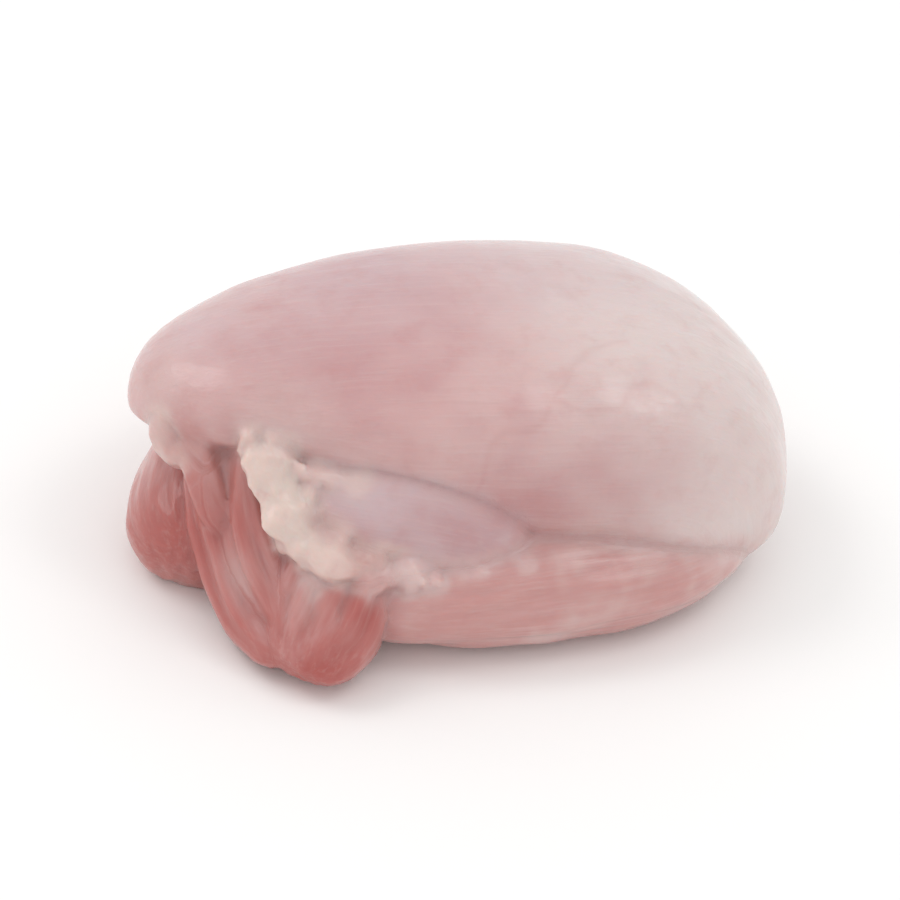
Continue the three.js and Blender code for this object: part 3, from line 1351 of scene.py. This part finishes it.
@dataclass(frozen=True)
class RawMeat:
    """Finish of the thigh: moist raw poultry meat with its fat and thin pale membranes.

    Attributes:
        pale: Colour of the closed end's paler meat.
        rose: Colour of the open end's rosier meat.
        flush_and_shade: Colour of the rosiest patches, and of painted shade in broad hollows.
        crease: Colour of the painted shade in the folds.
        lilac: Colour of the inner muscle, and of the membrane with its painted sheen on top.
        strap: Colour of the straps.
        flap: Colour of the flaps.
        blood: Colour of the reddest meat, and of painted shade along the hem's front.
        fat: Colour of the fat.
        web: Colour of the thin webs.
    """

    pale: Colour = srgb(216, 199, 196)
    rose: Colour = srgb(209, 172, 170)
    flush_and_shade: Colour = srgb(193, 146, 147)
    crease: Colour = srgb(180, 118, 114)
    lilac: Colour = srgb(200, 176, 180)
    strap: Colour = srgb(182, 115, 110)
    flap: Colour = srgb(196, 146, 142)
    blood: Colour = srgb(170, 80, 73)
    fat: Colour = srgb(219, 200, 191)
    web: Colour = srgb(216, 196, 192)

    # The shader's values that are the same all over the meat
    MOIST = {
        "IOR": 1.42,
        "Subsurface Weight": 0.6,
        "Subsurface Radius": (1.0, 0.42, 0.32),
        "Subsurface Scale": 2.8 * MM,
        "Coat Weight": 0.55,
        "Coat Roughness": 0.1,
        "Coat IOR": 1.36,
    }

    def material(self, fibres: bpy.types.NodeTree) -> bpy.types.Material:
        """Makes the material.

        Args:
            fibres: The group that draws muscle fibres.

        Returns:
            The material.
        """
        material = bpy.data.materials.new("raw_meat")
        material.use_nodes = True
        shader = material.node_tree.nodes["Principled BSDF"]
        for name, value in self.MOIST.items():
            shader.inputs[name].default_value = value
        nodes = MeatNodes(material.node_tree, fibres)
        colour = self._overlays(nodes, self._stranded_meat(nodes, self._smooth_meat(nodes)))
        nodes.set(shader.inputs["Base Color"], colour)
        nodes.set(shader.inputs["Roughness"], nodes.scaled(nodes.mottle, by=0.25, plus=0.26))
        relief = nodes.scaled(nodes.fine, by=0.5, plus=nodes.coarse)
        relief = nodes.scaled(nodes.mottle, by=0.6, plus=relief)
        bump = nodes.add("Bump", {"Strength": 0.35, "Distance": 0.6 * MM, "Height": relief})
        nodes.set(shader.inputs["Normal"], bump.outputs["Normal"])
        return material

    def _smooth_meat(self, nodes: MeatNodes) -> Socket:
        """Colours the smooth muscles: rosier at the open end, with a lilac tone on top that is
        partly the membrane's own and partly a painted sheen.

        Args:
            nodes: The material's nodes.

        Returns:
            The colour.
        """
        spot, cloud = nodes.spot, nodes.cloud
        paler = nodes.ramp(nodes.scaled(cloud, by=26 * MM, plus=spot["X"]), low=0.0, high=40 * MM)
        colour = nodes.mix(paler, self.rose, self.pale)
        # Rosier patches; those along the front of the hem are partly painted shade.
        colour = nodes.mix(nodes.attribute("blush"), colour, self.flush_and_shade)
        # Painted sheen: a lilac tone laid on the high back of the top, partly the membrane's own
        # colour.
        high = nodes.ramp(spot["Z"], low=24 * MM, high=38 * MM)
        back = nodes.ramp(spot["Y"], low=-10 * MM, high=17 * MM)
        top = nodes.math("MULTIPLY", high, back)
        painted_sheen = nodes.math("MULTIPLY", top, nodes.scaled(cloud, by=1.1))
        colour = nodes.mix(painted_sheen, colour, self.lilac)
        return nodes.over(colour, "inner", 0.85, self.lilac)

    def _stranded_meat(self, nodes: MeatNodes, colour: Socket) -> Socket:
        """Colours the straps and flaps, with paler streaks along their grain and thin films.

        Args:
            nodes: The material's nodes.
            colour: The other meat's colour.

        Returns:
            The colour of all meat.
        """
        streak = nodes.ramp(nodes.coarse, low=0.38, high=0.72)
        straps = nodes.math("ADD", nodes.attribute("strap"), nodes.attribute("red"), clamp=True)
        strap = nodes.mix(nodes.scaled(streak, by=0.55), self.strap, self.rose)
        colour = nodes.mix(straps, colour, strap)
        flap = nodes.mix(nodes.scaled(streak, by=0.6), self.flap, self.rose)
        film = nodes.scaled(nodes.ramp(nodes.cloud, low=0.5, high=0.68), by=0.5)
        flap = nodes.mix(film, flap, self.web)
        return nodes.mix(nodes.attribute("flap"), colour, flap)

    def _overlays(self, nodes: MeatNodes, colour: Socket) -> Socket:
        """Adds what lies over all meat: painted shade in folds and hollows, blood, fine streaks,
        mottling, fat and webs.

        Args:
            nodes: The material's nodes.
            colour: The meat's colour.

        Returns:
            The finished colour.
        """
        # Painted shade: broad hollows are darkened towards the rosiest colour.
        dip = nodes.ramp(nodes.attribute("dip"), low=0.05, high=0.9)
        colour = nodes.mix(nodes.scaled(dip, by=0.45), colour, self.flush_and_shade)
        # Painted shade in the creases, which turns to pale film in parts of the flaps' creases.
        crease = nodes.ramp(nodes.attribute("crease"), low=0.05, high=0.7)
        filmed = nodes.ramp(nodes.mottle, low=0.4, high=0.6)
        filmed = nodes.math("MULTIPLY", nodes.attribute("flap"), filmed)
        deep = nodes.mix(filmed, self.crease, self.web)
        colour = nodes.mix(nodes.scaled(crease, by=0.6), colour, deep)
        colour = nodes.over(colour, "vein", 0.1, self.blood)
        # Reddest meat; along the front of the hem it is partly painted shade.
        colour = nodes.over(colour, "blood", 0.92, self.blood)
        colour = nodes.over(colour, "film", 0.8, self.web)
        streaks = nodes.ramp(nodes.fine, low=0.48, high=0.75)
        colour = nodes.mix(nodes.scaled(streaks, by=0.12), colour, self.web)
        mottled = nodes.ramp(nodes.mottle, low=0.45, high=0.8)
        colour = nodes.mix(nodes.scaled(mottled, by=0.16), colour, self.strap)
        fatty = nodes.ramp(nodes.mottle, low=0.1, high=0.5)
        fatty = nodes.math("MULTIPLY", nodes.attribute("fat"), fatty)
        colour = nodes.mix(fatty, colour, nodes.over(self.fat, "blush", 0.45, self.flush_and_shade))
        return nodes.over(colour, "web", 0.75, self.web)


@dataclass
class ChickenThigh:
    """The thigh: its skin and its finish.

    Attributes:
        shape: Where its pieces lie.
        finish: Its finish.
    """

    shape: ThighShape = field(default_factory=ThighShape)
    finish: RawMeat = field(default_factory=RawMeat)

    def build(self) -> bpy.types.Object:
        """Builds the thigh and puts it in the solid's place.

        Returns:
            The thigh.
        """
        piece = ThighSkin(self.shape).piece("thigh_meat")
        piece.data.materials.append(self.finish.material(fibre_group()))
        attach(piece, BODY)
        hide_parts(NODE)
        return piece


@dataclass(frozen=True)
class Softbox:
    """A soft square light.

    Attributes:
        place: Where it hangs.
        side: How wide it is.
        power: Its power in watts.
    """

    place: Triple
    side: float
    power: float

    def hang(self, name: str) -> None:
        """Hangs the light, aimed at the thigh.

        Args:
            name: The light's name.
        """
        light = bpy.data.lights.new(name, "AREA")
        light.size = self.side
        light.energy = self.power
        lamp = bpy.data.objects.new(name, light)
        lamp.location = self.place
        lamp.rotation_euler = (-lamp.location).to_track_quat("-Z", "Y").to_euler()
        bpy.context.scene.collection.objects.link(lamp)


@dataclass
class Studio:
    """The pale floor, the soft lights and the camera.

    Attributes:
        floor_side: How wide the floor is.
        floor_colour: The floor's colour.
        floor_roughness: How matt the floor is.
        sky_strength: How bright the white sky is.
        lens: The camera's focal length, in millimetres.
        camera_place: Where the camera stands.
        camera_up: The camera's upward direction.
        aim: What the camera looks at.
        softboxes: The lights.
    """

    floor_side: float = 8.0
    floor_colour: Colour = srgb(250, 249, 248)
    floor_roughness: float = 0.6
    sky_strength: float = 0.9
    lens: float = 190.0
    camera_place: Triple = (-224.6 * MM, -447.4 * MM, 419 * MM)
    camera_up: Triple = (0.19, 0.63, 0.75)
    aim: Triple = (-1.4 * MM, 0.6 * MM, 15 * MM)
    softboxes: tuple[Softbox, ...] = (
        Softbox(place=(-0.45, 0.35, 0.75), side=0.4, power=1.5),
        Softbox(place=(0.35, -0.2, 0.8), side=0.3, power=0.7),
    )

    def build(self) -> None:
        """Builds the studio."""
        self._lay_floor()
        self._light()
        self._place_camera()

    def _lay_floor(self) -> None:
        """Lays the floor at the thigh's underside."""
        mesh = bpy.data.meshes.new("floor")
        bm = bmesh.new()
        bmesh.ops.create_grid(bm, x_segments=1, y_segments=1, size=self.floor_side / 2)
        bm.to_mesh(mesh)
        bm.free()
        material = bpy.data.materials.new("floor")
        material.use_nodes = True
        shader = material.node_tree.nodes["Principled BSDF"]
        shader.inputs["Base Color"].default_value = self.floor_colour
        shader.inputs["Roughness"].default_value = self.floor_roughness
        mesh.materials.append(material)
        floor = bpy.data.objects.new("floor", mesh)
        bpy.context.scene.collection.objects.link(floor)

    def _light(self) -> None:
        """Sets the sky and hangs the softboxes."""
        world = bpy.data.worlds.new("studio")
        world.use_nodes = True
        sky = world.node_tree.nodes["Background"]
        sky.inputs["Color"].default_value = (1.0, 1.0, 1.0, 1.0)
        sky.inputs["Strength"].default_value = self.sky_strength
        bpy.context.scene.world = world
        bpy.context.scene.view_settings.view_transform = "Standard"
        for number, softbox in enumerate(self.softboxes, start=1):
            softbox.hang(f"softbox_{number}")

    def _place_camera(self) -> None:
        """Puts the camera at the photograph's viewing angle."""
        camera = bpy.data.cameras.new("camera")
        camera.lens = self.lens
        camera.clip_start = 10 * MM
        holder = bpy.data.objects.new("camera", camera)
        place = Vector(self.camera_place)
        forward = (Vector(self.aim) - place).normalized()
        right = forward.cross(Vector(self.camera_up)).normalized()
        up = right.cross(forward)
        turn = Matrix((right, up, -forward)).transposed().to_4x4()
        holder.matrix_world = Matrix.Translation(place) @ turn
        bpy.context.scene.collection.objects.link(holder)
        bpy.context.scene.camera = holder


def write_size() -> None:
    """Brings the scene's view layer up to date."""
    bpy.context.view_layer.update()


def main() -> None:
    """Builds the thigh and its studio."""
    logging.basicConfig(level=logging.INFO, format="%(name)s: %(message)s")
    piece = ChickenThigh().build()
    log.info("%s has %d faces", piece.name, len(piece.data.polygons))
    Studio().build()
    log.info("studio built")
    write_size()


if __name__ == "__main__":
    main()
